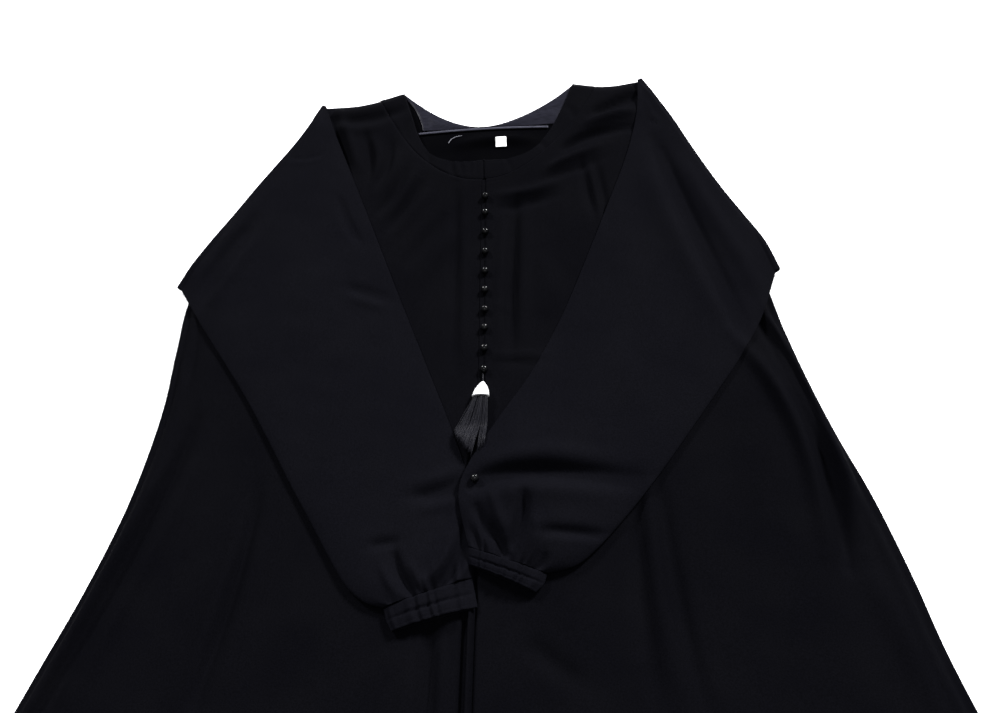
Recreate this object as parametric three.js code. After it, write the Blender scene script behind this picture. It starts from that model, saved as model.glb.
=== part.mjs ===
// An abaya cloak of black crepe, laid flat on its back with both sleeves folded forward over the front.
// Millimetres, +Z up. +X is the viewer's right with the garment face up, and +Y runs from hem to shoulders.
// Every piece of cloth is a closed wall: two faces one cloth apart, joined round the edges.

import * as THREE from 'three';

// Driving dimensions, mm
const CLOTH = 1.5; // wall of one layer of cloth
const GAP = 0.3; // left between neighbouring pieces
const HEM_Y = -710; // lowest point of the hem, at centre front
const HEM_RISE = 30; // the hem rises this much from the centre to the side seams
const NECK_HALF = 99; // neck point to centre line
const NECK_TOP_Y = 710; // height of the two neck points
const NECK_FRONT_LOW = 599; // the front neckline at the centre
const NECK_BACK = { depth: 60, power: 1.8 }; // scoop of the back neckline
const BAND_SEAM = { half: 127, topY: 703, depth: 140, power: 2.2 }; // lower edge of the neck band
const SHOULDER_SAG = 7; // the shoulder seam dips between the neck and the sleeve
const SHOULDER_MIDDLE = 148; // middle of the shoulder seam, from the centre line
const NECK_LIFT = 3.5; // the front neckline stands up from the back by this much
const FOLD_HEIGHT = 6.5; // height of the axis round which each sleeve turns over
const SEAM_INSET = 15; // the sleeve starts this far inside its fold
const EDGE_POWER = 0.35; // how square the long edges of a flattened sleeve are
const RING_STEPS = 18; // points round a sleeve or cuff
const BEND_STEPS = 5; // facets round each sleeve's fold
const BALL_RADIUS = 4.25;

// Heights of the layers as the garment lies
const FRONT_Z = CLOTH + GAP; // underside of the front
const ON_BACK_Z = CLOTH + GAP; // underside of what lies on the back panel
const ON_FRONT_Z = FRONT_Z + CLOTH + GAP; // underside of what lies on the front
const BODY_MIDDLE = (FRONT_Z + CLOTH) / 2; // middle of the two body layers

// Each sleeve in sections from its fold to its cuff seam. over is the edge that continues the shoulder
// seam, under the edge that continues the side seam, hollow the space between the layers, and the lifts
// raise each edge where the right sleeve crosses the left.
const LEFT_SLEEVE = [
  { over: [-191.7, 694.3], under: [-324.7, 436.3], hollow: GAP, lifts: [0, 0] },
  { over: [-174, 646], under: [-297, 394], hollow: 2, lifts: [0, 0] },
  { over: [-147, 576], under: [-265, 348], hollow: 3, lifts: [0, 0] },
  { over: [-122, 510], under: [-233, 301], hollow: 3, lifts: [0, 0] },
  { over: [-98, 446], under: [-204, 254], hollow: 3, lifts: [0, 0] },
  { over: [-74, 383], under: [-177, 208], hollow: 3, lifts: [0, 0] },
  { over: [-49, 318], under: [-150, 164], hollow: 4, lifts: [0, 0] },
  { over: [-25, 255], under: [-130, 131], hollow: 2, lifts: [0, 0] },
  { over: [-9, 205], under: [-114, 108], hollow: 6, lifts: [0, 0] },
  { over: [-6, 160], under: [-97, 94], hollow: 8, lifts: [0, 0] },
  { over: [-4, 114], under: [-80, 89], hollow: 7, lifts: [0, 0] },
];
const RIGHT_SLEEVE = [
  { over: [188.4, 708.8], under: [302.4, 424.8], hollow: GAP, lifts: [0, 0] },
  { over: [179, 652], under: [280, 369], hollow: 2, lifts: [0, 0] },
  { over: [162, 588], under: [254, 325], hollow: 3, lifts: [0, 0] },
  { over: [137, 519], under: [226, 286], hollow: 4, lifts: [0, 0] },
  { over: [111, 450], under: [197, 247], hollow: 3, lifts: [0, 0] },
  { over: [83, 380], under: [170, 211], hollow: 3, lifts: [0, 0] },
  { over: [50, 314], under: [144, 179], hollow: 4, lifts: [1, 0] },
  { over: [19, 266], under: [121, 153], hollow: 4, lifts: [4, 0] },
  { over: [-7, 222], under: [101, 133], hollow: 2, lifts: [7, 0] },
  { over: [-17, 188], under: [84, 121], hollow: 8, lifts: [7, 0] },
  { over: [-7, 140], under: [61, 116], hollow: 7, lifts: [6, 0] },
];

// Each cuff from its seam to its open end
const LEFT_CUFF = [
  { over: [-4, 113.6], under: [-80, 88.6], hollow: 7, lifts: [0, 0] },
  { over: [-1.5, 101], under: [-77, 78], hollow: 7.5, lifts: [0, 0] },
  { over: [1, 89], under: [-72, 69], hollow: 7.5, lifts: [0, 0] },
];
const RIGHT_CUFF = [
  { over: [-7, 139.6], under: [61, 115.6], hollow: 7, lifts: [6, 0] },
  { over: [-8, 132], under: [58, 107], hollow: 7.5, lifts: [5, 0] },
  { over: [-7, 125], under: [51, 100], hollow: 7.5, lifts: [4, 0] },
];

// Side seams below the sleeves: half widths of the body on each side at a height
const SIDE_ROWS = [
  { y: 360, left: 316, right: 300 },
  { y: 300, left: 317, right: 314 },
  { y: 240, left: 324, right: 331 },
  { y: 180, left: 336, right: 351 },
  { y: 110, left: 357, right: 369 },
  { y: 40, left: 383, right: 384 },
  { y: -40, left: 412, right: 408 },
  { y: -150, left: 450, right: 446 },
  { y: -280, left: 490, right: 488 },
  { y: -420, left: 531, right: 531 },
  { y: -560, left: 573, right: 573 },
  { y: HEM_Y + HEM_RISE, left: 611.5, right: 611.5 },
];
const SLEEVE_ROWS = 5; // rows of a panel beside its sleeve
const NECK_ROWS = 6; // rows over which a panel's neck curve fades to straight
const BAND_COLUMNS = 8; // facets of the band and of the front's neck edge, from shoulder to centre

// The centre front line wanders a little as the garment lies
const CENTRE_LINE = [
  { y: 600, x: 3 },
  { y: 330, x: 3.5 },
  { y: 0, x: -4 },
  { y: HEM_Y, x: 0 },
];

// The front neckline, x and y down one side and up the other: a flat bottom and steep sides
const FRONT_NECK = [
  [-99, 710], [-89, 692], [-80, 668], [-73, 645], [-60, 626], [-42, 611], [-24, 602], [0, NECK_FRONT_LOW],
  [26, 600], [50, 608], [65, 621], [77, 643], [87, 672], [95, 696], [99, 710],
];

// Each sleeve's fold dents towards the body, at even steps from the shoulder to the underarm
const LEFT_DENTS = [2, 8, 9, 7, 5, 4, 2, 1, 1];
const RIGHT_DENTS = [5, 5, 4, 5, 5, 4, 1, -2, 0];

// Soft waves in the front of the skirt: a ridge runs from start to end
const SKIRT_RIDGES = [
  { start: [-300, 20], end: [-440, -640], width: 48, height: 3.2 },
  { start: [-150, -60], end: [-240, -690], width: 52, height: 3.6 },
  { start: [110, -90], end: [150, -690], width: 50, height: 3 },
  { start: [250, -20], end: [370, -650], width: 50, height: 3.6 },
];

// Ball buttons down the centre front, and one caught in the fold of the right sleeve
const BUTTON_ROWS_Y = [542, 520, 494, 468, 443, 419, 395, 373, 349, 325];
const LOOSE_BALL = { x: -2, y: 203, onZ: 15.7 };

// Tassel: a metal bell and the reach of its fringe, lying on the front
const CAP = { x: 2.6, topY: 307.5, baseY: 289.5, baseRadius: 8.5, flatten: 0.72 };
const FRINGE_SECTIONS = [
  { y: CAP.baseY - GAP, middle: 2.4, half: 7.2, height: 9 },
  { y: 272, middle: -1.5, half: 11, height: 9 },
  { y: 254, middle: -6, half: 15, height: 7.5 },
  { y: 236, middle: -9, half: 7, height: 4 },
];

// Inside the back neck
const FACING = { half: 92, lowerY: 647.8, fromBand: 3, thick: 1 };
const TAPE = { half: 72, y: 645.5, wide: 3.2, tilt: 2.5, thick: 1 };
const LABEL = { x: [15, 25.5], y: [619.5, 631], thick: 0.6 };

const BLACK_CREPE = { color: 0x15151a, roughness: 0.85, metalness: 0 };
const GREY_SATIN = { color: 0x44444e, roughness: 0.4, metalness: 0 };
const WHITE_LABEL = { color: 0xf2f2f2, roughness: 0.8, metalness: 0 };
const GLOSS_BLACK = { color: 0x0b0b0d, roughness: 0.15, metalness: 0 };
const SILVER = { color: 0xd8d8dc, roughness: 0.3, metalness: 1 };
const GREY_SILK = { color: 0x33343a, roughness: 0.5, metalness: 0 };

const { lerp, smoothstep } = THREE.MathUtils;
const lerp2 = (a, b, t) => [lerp(a[0], b[0], t), lerp(a[1], b[1], t)];
const moved = (p, direction, distance) => [p[0] + direction[0] * distance, p[1] + direction[1] * distance];
const steps = (count) => Array.from({ length: count + 1 }, (_, i) => i / count);

// ---- closed surfaces from rows of points ----

/** A geometry from points and triangles, turned to face out: a closed surface has a positive volume then. */
function closedGeometry(points, triangles) {
  let volume = 0;
  const normal = new THREE.Vector3();
  for (let i = 0; i < triangles.length; i += 3) {
    const [a, b, c] = [points[triangles[i]], points[triangles[i + 1]], points[triangles[i + 2]]];
    volume += a.dot(normal.crossVectors(b, c));
  }
  const facing = volume < 0 ? triangles.slice().reverse() : triangles;
  const geometry = new THREE.BufferGeometry().setFromPoints(points);
  geometry.setIndex(facing);
  geometry.computeVertexNormals();
  return geometry;
}

/** Two triangles. */
function quad(triangles, a, b, c, d) {
  triangles.push(a, b, c, a, c, d);
}

/** A wall of cloth between two grids of the same size: both faces and the strip round the edge. */
function clothWall(lower, upper) {
  const rows = lower.length;
  const columns = lower[0].length;
  const other = rows * columns;
  const at = (r, c) => r * columns + c;
  const triangles = [];
  for (let r = 0; r < rows - 1; r += 1) {
    for (let c = 0; c < columns - 1; c += 1) {
      const corners = [at(r, c), at(r, c + 1), at(r + 1, c + 1), at(r + 1, c)];
      quad(triangles, ...corners);
      quad(triangles, ...corners.reverse().map((i) => i + other));
    }
  }
  const edge = [];
  for (let c = 0; c < columns - 1; c += 1) edge.push(at(0, c));
  for (let r = 0; r < rows - 1; r += 1) edge.push(at(r, columns - 1));
  for (let c = columns - 1; c > 0; c -= 1) edge.push(at(rows - 1, c));
  for (let r = rows - 1; r > 0; r -= 1) edge.push(at(r, 0));
  edge.forEach((p, i) => {
    const q = edge[(i + 1) % edge.length];
    quad(triangles, q, p, p + other, q + other);
  });
  return closedGeometry([...lower.flat(), ...upper.flat()], triangles);
}

/** A tube of cloth, open at both ends: outer rings, inner rings and the two rims. */
function clothTube(outer, inner) {
  const count = outer[0].length;
  const last = outer.length - 1;
  const other = outer.length * count;
  const at = (r, j) => r * count + (j % count);
  const triangles = [];
  for (let j = 0; j < count; j += 1) {
    for (let r = 0; r < last; r += 1) {
      const corners = [at(r, j), at(r, j + 1), at(r + 1, j + 1), at(r + 1, j)];
      quad(triangles, ...corners);
      quad(triangles, ...corners.reverse().map((i) => i + other));
    }
    quad(triangles, at(0, j + 1), at(0, j), at(0, j) + other, at(0, j + 1) + other);
    quad(triangles, at(last, j), at(last, j + 1), at(last, j + 1) + other, at(last, j) + other);
  }
  return closedGeometry([...outer.flat(), ...inner.flat()], triangles);
}

/** A solid through rings, closed at each end by a fan to the ring's middle. */
function solidThrough(rings) {
  const count = rings[0].length;
  const last = rings.length - 1;
  const points = rings.flat();
  const middle = (ring) => ring.reduce((sum, p) => sum.add(p), new THREE.Vector3()).divideScalar(count);
  const start = points.push(middle(rings[0])) - 1;
  const end = points.push(middle(rings[last])) - 1;
  const at = (r, j) => r * count + (j % count);
  const triangles = [];
  for (let j = 0; j < count; j += 1) {
    for (let r = 0; r < last; r += 1) quad(triangles, at(r, j), at(r, j + 1), at(r + 1, j + 1), at(r + 1, j));
    triangles.push(start, at(0, j + 1), at(0, j), end, at(last, j), at(last, j + 1));
  }
  return closedGeometry(points, triangles);
}

// ---- the garment's lines ----

/** Height of a scooped neck curve: lowest at the centre, rising by depth at half. */
const scoop = (x, half, topY, { depth, power }) => topY - depth + depth * (Math.abs(x) / half) ** power;
const backNeckY = (x) => scoop(x, NECK_HALF, NECK_TOP_Y, NECK_BACK);
const bandSeamY = (x) => scoop(x, BAND_SEAM.half, BAND_SEAM.topY, BAND_SEAM);

/** Height of the front neckline at x, straight between its points. */
function frontNeckY(x) {
  const next = THREE.MathUtils.clamp(FRONT_NECK.findIndex((p) => p[0] >= x), 1, FRONT_NECK.length - 1);
  const [a, b] = [FRONT_NECK[next - 1], FRONT_NECK[next]];
  return lerp(a[1], b[1], (x - a[0]) / (b[0] - a[0]));
}

/** Height of the shoulder seam at x: straight from neck point to sleeve fold, with a sag between. */
function shoulderY(x) {
  const tip = (x < 0 ? LEFT_SLEEVE : RIGHT_SLEEVE)[0].over;
  const share = (Math.abs(x) - NECK_HALF) / (Math.abs(tip[0]) - NECK_HALF);
  return lerp(NECK_TOP_Y, tip[1], share) - SHOULDER_SAG * Math.sin(Math.PI * Math.max(0, share));
}

/** x of the centre front line at a height. */
function centreX(y) {
  const next = Math.max(1, CENTRE_LINE.findIndex((row) => row.y <= y));
  const [a, b] = [CENTRE_LINE[next - 1], CENTRE_LINE[next]];
  return lerp(a.x, b.x, THREE.MathUtils.clamp((a.y - y) / (a.y - b.y), 0, 1));
}

/** The line where a sleeve folds over: its ends, and the direction from it into the body. */
function foldLine(sections) {
  const { over, under } = sections[0];
  const length = Math.hypot(under[0] - over[0], under[1] - over[1]);
  const along = [(under[0] - over[0]) / length, (under[1] - over[1]) / length];
  const inward = over[0] < 0 ? [-along[1], along[0]] : [along[1], -along[0]];
  return { over, under, inward };
}

/** The fold line moved into the body: its upper end slides along the shoulder seam. */
function insideFold(sections, inset) {
  const { over, under, inward } = foldLine(sections);
  const towardsNeck = -Math.sign(over[0]);
  const x = over[0] + (towardsNeck * inset) / Math.abs(inward[0]);
  return { over: [x, shoulderY(x)], under: moved(under, inward, inset) };
}

/** Distance from a point to a segment, in plan. */
function segmentDistance(x, y, [ax, ay], [bx, by]) {
  const length2 = (bx - ax) ** 2 + (by - ay) ** 2;
  const t = THREE.MathUtils.clamp(((x - ax) * (bx - ax) + (y - ay) * (by - ay)) / length2, 0, 1);
  return Math.hypot(x - lerp(ax, bx, t), y - lerp(ay, by, t));
}

/** Underside of the front: flat on the back, raised at the neckline and along the skirt's soft ridges. */
function frontZ(x, y) {
  const across = Math.max(0, 1 - (x / 115) ** 2);
  const neck = NECK_LIFT * across * Math.exp(-(((y - NECK_FRONT_LOW) / 70) ** 2));
  const ridge = SKIRT_RIDGES.reduce((sum, { start, end, width, height }) => {
    const distance = segmentDistance(x, y, start, end);
    return sum + height * Math.exp(-((distance / width) ** 2));
  }, 0);
  return FRONT_Z + neck + ridge;
}

// ---- body panels ----

/** Points down one side of a panel: along the sleeve's fold, then down the side seam. */
function sideEdge(sign) {
  const { over, under } = insideFold(sign < 0 ? LEFT_SLEEVE : RIGHT_SLEEVE, SEAM_INSET + GAP);
  const beside = steps(SLEEVE_ROWS).map((t) => lerp2(over, under, t));
  const below = SIDE_ROWS.map((row) => [sign * (sign < 0 ? row.left : row.right), row.y]);
  return [...beside, ...below];
}

/** Rows of plan points of a panel between two edges, under a top edge given as points: the top edge's
    shape fades out over the first rows, and the hem's curve comes in at the last. */
function panelPlan(top, first, last) {
  const span = last[0][0] - first[0][0];
  return first.map((start, i) => {
    const end = last[i];
    const keep = Math.max(0, 1 - i / NECK_ROWS) ** 2;
    return top.map(([topX, topY]) => {
      const share = (topX - first[0][0]) / span;
      const x = lerp(start[0], end[0], share);
      const straight = lerp(start[1], end[1], share);
      const neck = (topY - lerp(first[0][1], last[0][1], share)) * keep;
      const hem = i === first.length - 1 ? HEM_RISE * ((x / SIDE_ROWS.at(-1).left) ** 2 - 1) : 0;
      return [x, straight + neck + hem];
    });
  });
}

/** A wall of cloth over plan points, its underside at a height worked out for each point. */
function layer(plan, underside, thick = CLOTH) {
  const at = (raise) => plan.map((row) => row.map(([x, y]) => new THREE.Vector3(x, y, underside(x, y) + raise)));
  return clothWall(at(0), at(thick));
}

/** Spacing from a shoulder to the centre that is closer near the shoulder, where the neck curve is steep. */
const towardsCentre = (half, count) => steps(count).map((t) => half * (1 - t ** 1.5));

/** The back: neckline, shoulder seams, folds, side seams and hem. */
function backPanel() {
  const [left, right] = [sideEdge(-1), sideEdge(1)];
  const half = towardsCentre(NECK_HALF, 6);
  const neck = [...half.map((x) => -x), ...half.slice(0, -1).reverse()];
  const top = [
    left[0],
    [-SHOULDER_MIDDLE, shoulderY(-SHOULDER_MIDDLE)],
    ...neck.map((x) => [x, backNeckY(x)]),
    [SHOULDER_MIDDLE, shoulderY(SHOULDER_MIDDLE)],
    right[0],
  ];
  return layer(panelPlan(top, left, right), () => 0);
}

/** One front, from its side to the centre front line; its neck edge is the band's seam. */
function frontPanel(sign) {
  const side = sideEdge(sign);
  const shoulderEnd = sign * (BAND_SEAM.half + GAP);
  const seam = towardsCentre(BAND_SEAM.half, BAND_COLUMNS).map((x) => [sign * x, bandSeamY(x) - GAP]);
  seam[0] = [shoulderEnd, shoulderY(shoulderEnd)];
  const centre = side.map(([, y]) => [centreX(y) + (sign * GAP) / 2, y]);
  seam[seam.length - 1][0] = centre[0][0];
  const top = [side[0], [sign * SHOULDER_MIDDLE, shoulderY(sign * SHOULDER_MIDDLE)], ...seam];
  return layer(panelPlan(top, side, centre), frontZ);
}

/** One half of the neck band, from the shoulder seam to the centre front. */
function neckBand(sign) {
  const outer = towardsCentre(BAND_SEAM.half, BAND_COLUMNS);
  const inner = towardsCentre(NECK_HALF, BAND_COLUMNS);
  const plan = outer.map((x, i) => {
    const low = [sign * x, bandSeamY(x)];
    const high = [sign * inner[i], frontNeckY(sign * inner[i])];
    return steps(2).map((t) => lerp2(low, high, t));
  });
  plan[0] = plan[0].map(([x]) => [x, shoulderY(x)]);
  plan[plan.length - 1] = plan.at(-1).map(([, y]) => [centreX(y) + (sign * GAP) / 2, y]);
  return layer(plan, frontZ);
}

// ---- sleeves and cuffs ----

/** Round a flattened tube: share of the way from the over-arm edge to the underarm edge, and the level
    between the layers, 1 on the front layer of the laid-out garment and -1 on its back layer. */
const RING = steps(RING_STEPS).slice(0, -1).map((t) => {
  const sine = Math.sin(2 * Math.PI * t);
  return { share: 0.5 - 0.5 * Math.cos(2 * Math.PI * t), level: Math.sign(sine) * Math.abs(sine) ** EDGE_POWER };
});

/** Rows of a ring between two edges: place(share, level in mm from the middle) gives a point. The outer ring
    has the cloth outside the hollow, and the inner ring lies one cloth inside the edges. */
function ringPair(over, under, hollow, place) {
  const width = Math.hypot(under[0] - over[0], under[1] - over[1]);
  const swell = (share) => (hollow / 2) * Math.sqrt(Math.sin(Math.PI * share));
  const outer = RING.map(({ share, level }) => {
    return place(lerp2(over, under, share), level * (CLOTH + swell(share)), share);
  });
  const inner = RING.map(({ share, level }) => {
    const inset = lerp(CLOTH / width, 1 - CLOTH / width, share);
    return place(lerp2(over, under, inset), level * Math.max(GAP / 2, swell(inset)), inset);
  });
  return { outer, inner };
}

/** A ring lying on the front: turned over, so the front layer is underneath. */
function lyingRing({ over, under, hollow, lifts }, extraHeight = 0, shift = () => [0, 0]) {
  const middle = ON_FRONT_Z + CLOTH + hollow / 2 + extraHeight;
  return ringPair(over, under, hollow, ([x, y], level, share) => {
    const [dx, dy] = shift(share);
    return new THREE.Vector3(x + dx, y + dy, middle + lerp(lifts[0], lifts[1], share) - level);
  });
}

/** Both ends of a section, its hollow and its lifts, part of the way to the next. */
const between = (a, b, t) => ({
  over: lerp2(a.over, b.over, t),
  under: lerp2(a.under, b.under, t),
  hollow: lerp(a.hollow, b.hollow, t),
  lifts: lerp2(a.lifts, b.lifts, t),
});

/** A sleeve: level with the body's layers inside its fold, round the fold, down onto the front, to the
    cuff. Its fold is dented, and the rings on either side of the fold follow the dents in part. */
function sleeve(sections, dents) {
  const { over, under, inward } = foldLine(sections);
  const dented = (share, part) => {
    const at = share * (dents.length - 1);
    const i = Math.min(Math.floor(at), dents.length - 2);
    return part * lerp(dents[i], dents[i + 1], at - i);
  };
  const level = [[SEAM_INSET, 0], [SEAM_INSET / 2, 0.5]].map(([inset, part]) => {
    const ends = insideFold(sections, inset);
    return ringPair(ends.over, ends.under, GAP, (plan, up, share) => {
      const [x, y] = moved(plan, inward, dented(share, part));
      return new THREE.Vector3(x, y, BODY_MIDDLE + up);
    });
  });
  const turning = steps(BEND_STEPS).map((t) => {
    const angle = Math.PI * t;
    return ringPair(over, under, GAP, (plan, up, share) => {
      const radius = FOLD_HEIGHT - BODY_MIDDLE - up;
      const [x, y] = moved(plan, inward, dented(share, 1) - radius * Math.sin(angle));
      return new THREE.Vector3(x, y, FOLD_HEIGHT - radius * Math.cos(angle));
    });
  });
  const drop = 2 * FOLD_HEIGHT - BODY_MIDDLE - (ON_FRONT_Z + CLOTH + GAP / 2);
  const settling = [[0.3, 0.85], [0.65, 0.5]].map(([t, part]) => {
    const follow = (share) => moved([0, 0], inward, dented(share, part));
    return lyingRing(between(sections[0], sections[1], t), drop * (1 - smoothstep(t, 0, 1)), follow);
  });
  const lying = sections.slice(1).map((section) => lyingRing(section));
  const rings = [...level, ...turning, ...settling, ...lying];
  return clothTube(rings.map((ring) => ring.outer), rings.map((ring) => ring.inner));
}

/** A cuff: a short flattened ring round the end of a sleeve, open at the hand. */
function cuff(sections) {
  const rings = sections.map((section) => lyingRing(section));
  return clothTube(rings.map((ring) => ring.outer), rings.map((ring) => ring.inner));
}

// ---- trims ----

/** The satin strip inside the back neck: between the neckline and a straight lower edge. */
function backNeckFacing() {
  const inset = 0.8;
  const plan = steps(14).map((t) => {
    const x = lerp(-FACING.half, FACING.half, t);
    const low = Math.max(FACING.lowerY, frontNeckY(x) + FACING.fromBand);
    return [[x, low], [x, backNeckY(x) - inset * (1 - Math.abs(x) / FACING.half)]];
  });
  return layer(plan, () => ON_BACK_Z, FACING.thick);
}

/** The narrow tape under the facing, a shallow arc. */
function backNeckTape() {
  const plan = steps(10).map((t) => {
    const x = lerp(-TAPE.half, TAPE.half, t);
    const y = TAPE.y - TAPE.tilt * (x / TAPE.half) ** 2;
    return [[x, y - TAPE.wide / 2], [x, y + TAPE.wide / 2]];
  });
  return layer(plan, () => ON_BACK_Z, TAPE.thick);
}

/** The bare size label. */
function sizeLabel() {
  const [[x0, x1], [y0, y1]] = [LABEL.x, LABEL.y];
  return layer([[[x0, y0], [x1, y0]], [[x0, y1], [x1, y1]]], () => ON_BACK_Z, LABEL.thick);
}

/** The tassel's bell, lying down and a little flattened. */
function tasselCap() {
  const length = CAP.topY - CAP.baseY;
  const profile = [
    new THREE.Vector2(0, 0),
    new THREE.Vector2(CAP.baseRadius, 0),
    new THREE.Vector2(CAP.baseRadius * 0.93, length * 0.25),
    new THREE.Vector2(CAP.baseRadius * 0.73, length * 0.53),
    new THREE.Vector2(CAP.baseRadius * 0.39, length * 0.81),
    new THREE.Vector2(0, length),
  ];
  const geometry = new THREE.LatheGeometry(profile, 20);
  geometry.scale(1, 1, CAP.flatten);
  geometry.translate(CAP.x, CAP.baseY, ON_FRONT_Z + CAP.baseRadius * CAP.flatten);
  return geometry;
}

/** The reach of the fringe: flattened rings from the bell to the ends of the threads. */
function tasselFringe() {
  const rings = FRINGE_SECTIONS.map(({ y, middle, half, height }) => {
    return steps(14).slice(0, -1).map((t) => {
      const angle = 2 * Math.PI * t;
      const x = middle + half * Math.cos(angle);
      return new THREE.Vector3(x, y, ON_FRONT_Z + (height / 2) * (1 + Math.sin(angle)));
    });
  });
  return solidThrough(rings);
}

/** A ball button resting at a height. */
function ball(x, y, z) {
  const geometry = new THREE.SphereGeometry(BALL_RADIUS, 12, 8);
  geometry.translate(x, y, z + BALL_RADIUS);
  return geometry;
}

// ---- the garment ----

const abaya = new THREE.Group();

/** Adds one piece under its name. */
function piece(name, geometry, finish) {
  const mesh = new THREE.Mesh(geometry, new THREE.MeshStandardMaterial(finish));
  mesh.name = name;
  abaya.add(mesh);
}

piece('back_panel', backPanel(), BLACK_CREPE);
piece('front_left', frontPanel(-1), BLACK_CREPE);
piece('front_right', frontPanel(1), BLACK_CREPE);
piece('neck_band_left', neckBand(-1), BLACK_CREPE);
piece('neck_band_right', neckBand(1), BLACK_CREPE);
piece('back_neck_facing', backNeckFacing(), GREY_SATIN);
piece('back_neck_tape', backNeckTape(), GREY_SATIN);
piece('size_label', sizeLabel(), WHITE_LABEL);
piece('sleeve_left', sleeve(LEFT_SLEEVE, LEFT_DENTS), BLACK_CREPE);
piece('sleeve_right', sleeve(RIGHT_SLEEVE, RIGHT_DENTS), BLACK_CREPE);
piece('cuff_left', cuff(LEFT_CUFF), BLACK_CREPE);
piece('cuff_right', cuff(RIGHT_CUFF), BLACK_CREPE);
BUTTON_ROWS_Y.forEach((y, i) => {
  const x = centreX(y);
  const name = `ball_button_${String(i + 1).padStart(2, '0')}`;
  piece(name, ball(x, y, frontZ(x, y) + CLOTH + GAP), GLOSS_BLACK);
});
piece('ball_button_11', ball(LOOSE_BALL.x, LOOSE_BALL.y, LOOSE_BALL.onZ), GLOSS_BLACK);
piece('tassel_cap', tasselCap(), SILVER);
piece('tassel_fringe', tasselFringe(), GREY_SILK);

export default abaya;
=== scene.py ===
"""An abaya cloak of black crepe laid flat, face up, with both sleeves folded forward over the front.

Lengths in the tables are millimetres in the part's own frame: +X is the viewer's right, +Y runs from the
hem to the shoulders, +Z is up and the surface that the garment lies on is z = 0. Meshes are in metres.
"""

import math
from collections import namedtuple

import bmesh
import bpy
import numpy as np
from mathutils import Matrix, Vector


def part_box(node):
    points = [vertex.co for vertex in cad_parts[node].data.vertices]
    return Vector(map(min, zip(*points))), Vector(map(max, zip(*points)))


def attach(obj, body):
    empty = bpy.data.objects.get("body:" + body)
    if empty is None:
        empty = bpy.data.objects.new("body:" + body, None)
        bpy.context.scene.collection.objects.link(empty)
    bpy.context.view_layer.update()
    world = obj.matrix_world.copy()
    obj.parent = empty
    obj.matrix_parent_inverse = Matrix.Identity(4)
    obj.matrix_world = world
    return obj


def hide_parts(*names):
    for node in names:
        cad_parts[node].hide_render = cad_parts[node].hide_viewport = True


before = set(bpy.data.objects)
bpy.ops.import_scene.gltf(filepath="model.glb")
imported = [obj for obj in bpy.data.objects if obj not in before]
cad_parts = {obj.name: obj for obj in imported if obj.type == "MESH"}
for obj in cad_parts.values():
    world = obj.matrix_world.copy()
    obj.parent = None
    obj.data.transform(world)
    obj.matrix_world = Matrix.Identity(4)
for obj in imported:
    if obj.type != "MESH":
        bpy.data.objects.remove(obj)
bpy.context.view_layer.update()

MM = 0.001

# ---- the garment's sizes, mm ----

CLOTH = 0.8  # crepe as it is drawn: two or three times its real thickness, so that its edges show
LAYER_TOP = 3.3  # top of the front where it lies flat on the back
SEAM_LEVEL = 1.7  # and where it is sewn to the back
TROUGH_FLOOR = 2.0  # where a trough's depth starts to be held back
CLEAR = 0.35  # between two layers that lie on each other
NECK_HALF = 99
NECK_TOP_Y = 710
NECK_BACK = (60, 1.8)  # depth and power of the back neckline's scoop
BAND_HALF = 127
BAND_TOP_Y = 703
BAND_SEAM = (140, 2.2)  # depth and power of the scoop that the neck band is sewn along
BAND_WIDTH = 30  # about, for how the dents at its two edges fade across it
BAND_END_X = 90  # further out than this, its ends are sewn along the shoulder seams
BAND_COLUMNS = 90
CENTRE_GAP = 0.12  # from the centre line to the edge of each front
SHOULDER_SAG = 7
FOLD_HEIGHT = 6.5  # height of the axis that a sleeve turns round
SEAM_INSET = 15  # from the fold to the sleeve's seam inside it
SEAM_SHOWS_Y = 290  # below this, under the tassel, the centre seam is deeper and its allowance shows
HEM_RISE = 30  # from the hem's middle up to its ends at the side seams
HEM_STITCHED = 19  # from the hem's edge to its stitching
SIDE_HEM_Y = -680
NECK_LIFT = 5  # how much the front stands up at the middle of the neckline
FACING_HALF = 97
FACING_LOW_Y = 647.6
TAPE_HALF = 76
TAPE_Y = 645.6
LABEL_X = (15, 27.5)
LABEL_Y = (616, 627)
CUFF_DEPTH = 25
BALL_RADIUS = 4
FRINGE_LIFT = 7  # of the tassel's ends, where they lie on the sleeves
TABLE_HALF = 40000  # the table reaches 40 m each way, so that its edge is lost in the distance
TABLE_Z = -0.6  # just under the cloth
NO_EDGE = 99  # stands for the distance to an edge that isn't there

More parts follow.
